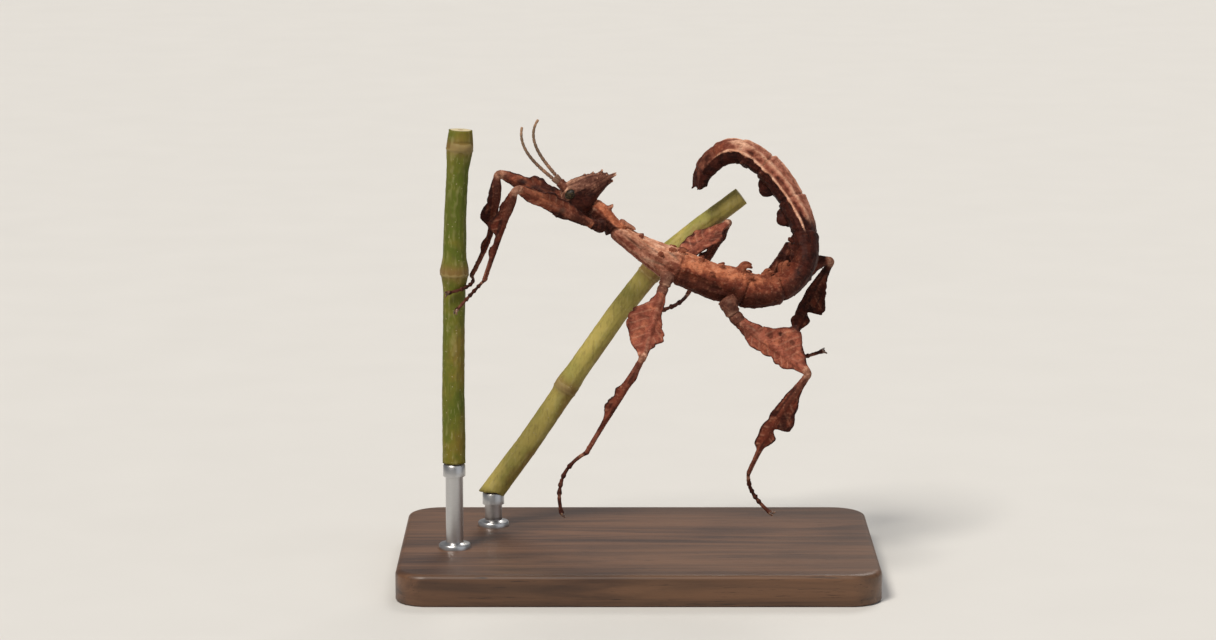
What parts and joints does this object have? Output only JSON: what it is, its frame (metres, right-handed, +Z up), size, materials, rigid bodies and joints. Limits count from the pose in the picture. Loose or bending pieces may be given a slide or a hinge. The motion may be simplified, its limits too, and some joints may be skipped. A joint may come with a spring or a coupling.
{
  "type": "stick insect",
  "caption": "Still, life-size stick insect with leaf-like legs and a curled tail, gripping cut twigs that short rods hold up on a flat display base.",
  "frame": {"origin": "centre of the display base's underside, which is also the bottom centre of the whole model's box", "axes": "+X from the animal's head towards its tail, +Y from its left side to its right, +Z up"},
  "size_m": [0.06, 0.038, 0.0582],
  "materials": {
    "cuticle": "dry, finely grained reddish-brown insect cuticle",
    "eye": "glossy dark compound eye",
    "twig": "smooth green bark of a living twig",
    "stand_base": "dark stained hardwood, satin",
    "stand_rod": "fine brushed steel"
  },
  "bodies": {
    "root": {"head": "cuticle", "mouthparts": "cuticle", "prothorax": "cuticle", "mesothorax": "cuticle", "metathorax": "cuticle", "abdomen_2": "cuticle", "abdomen_3": "cuticle", "abdomen_4": "cuticle", "abdomen_5": "cuticle", "abdomen_6": "cuticle", "abdomen_7": "cuticle", "abdomen_8": "cuticle", "abdomen_9": "cuticle", "abdomen_10": "cuticle", "coxa_front_left": "cuticle", "femur_front_left": "cuticle", "tibia_front_left": "cuticle", "tarsus_front_left": "cuticle", "coxa_front_right": "cuticle", "femur_front_right": "cuticle", "tibia_front_right": "cuticle", "tarsus_front_right": "cuticle", "coxa_mid_left": "cuticle", "femur_mid_left": "cuticle", "tibia_mid_left": "cuticle", "tarsus_mid_left": "cuticle", "coxa_mid_right": "cuticle", "femur_mid_right": "cuticle", "tibia_mid_right": "cuticle", "tarsus_mid_right": "cuticle", "coxa_hind_left": "cuticle", "femur_hind_left": "cuticle", "tibia_hind_left": "cuticle", "tarsus_hind_left": "cuticle", "coxa_hind_right": "cuticle", "femur_hind_right": "cuticle", "tibia_hind_right": "cuticle", "tarsus_hind_right": "cuticle", "antenna_left": "cuticle", "antenna_right": "cuticle", "eye_left": "eye", "eye_right": "eye", "perch_stem": "twig", "perch_branch": "twig", "stand_base": "stand_base", "stand_rod_stem": "stand_rod", "stand_rod_branch": "stand_rod"}
  },
  "joints": []
}
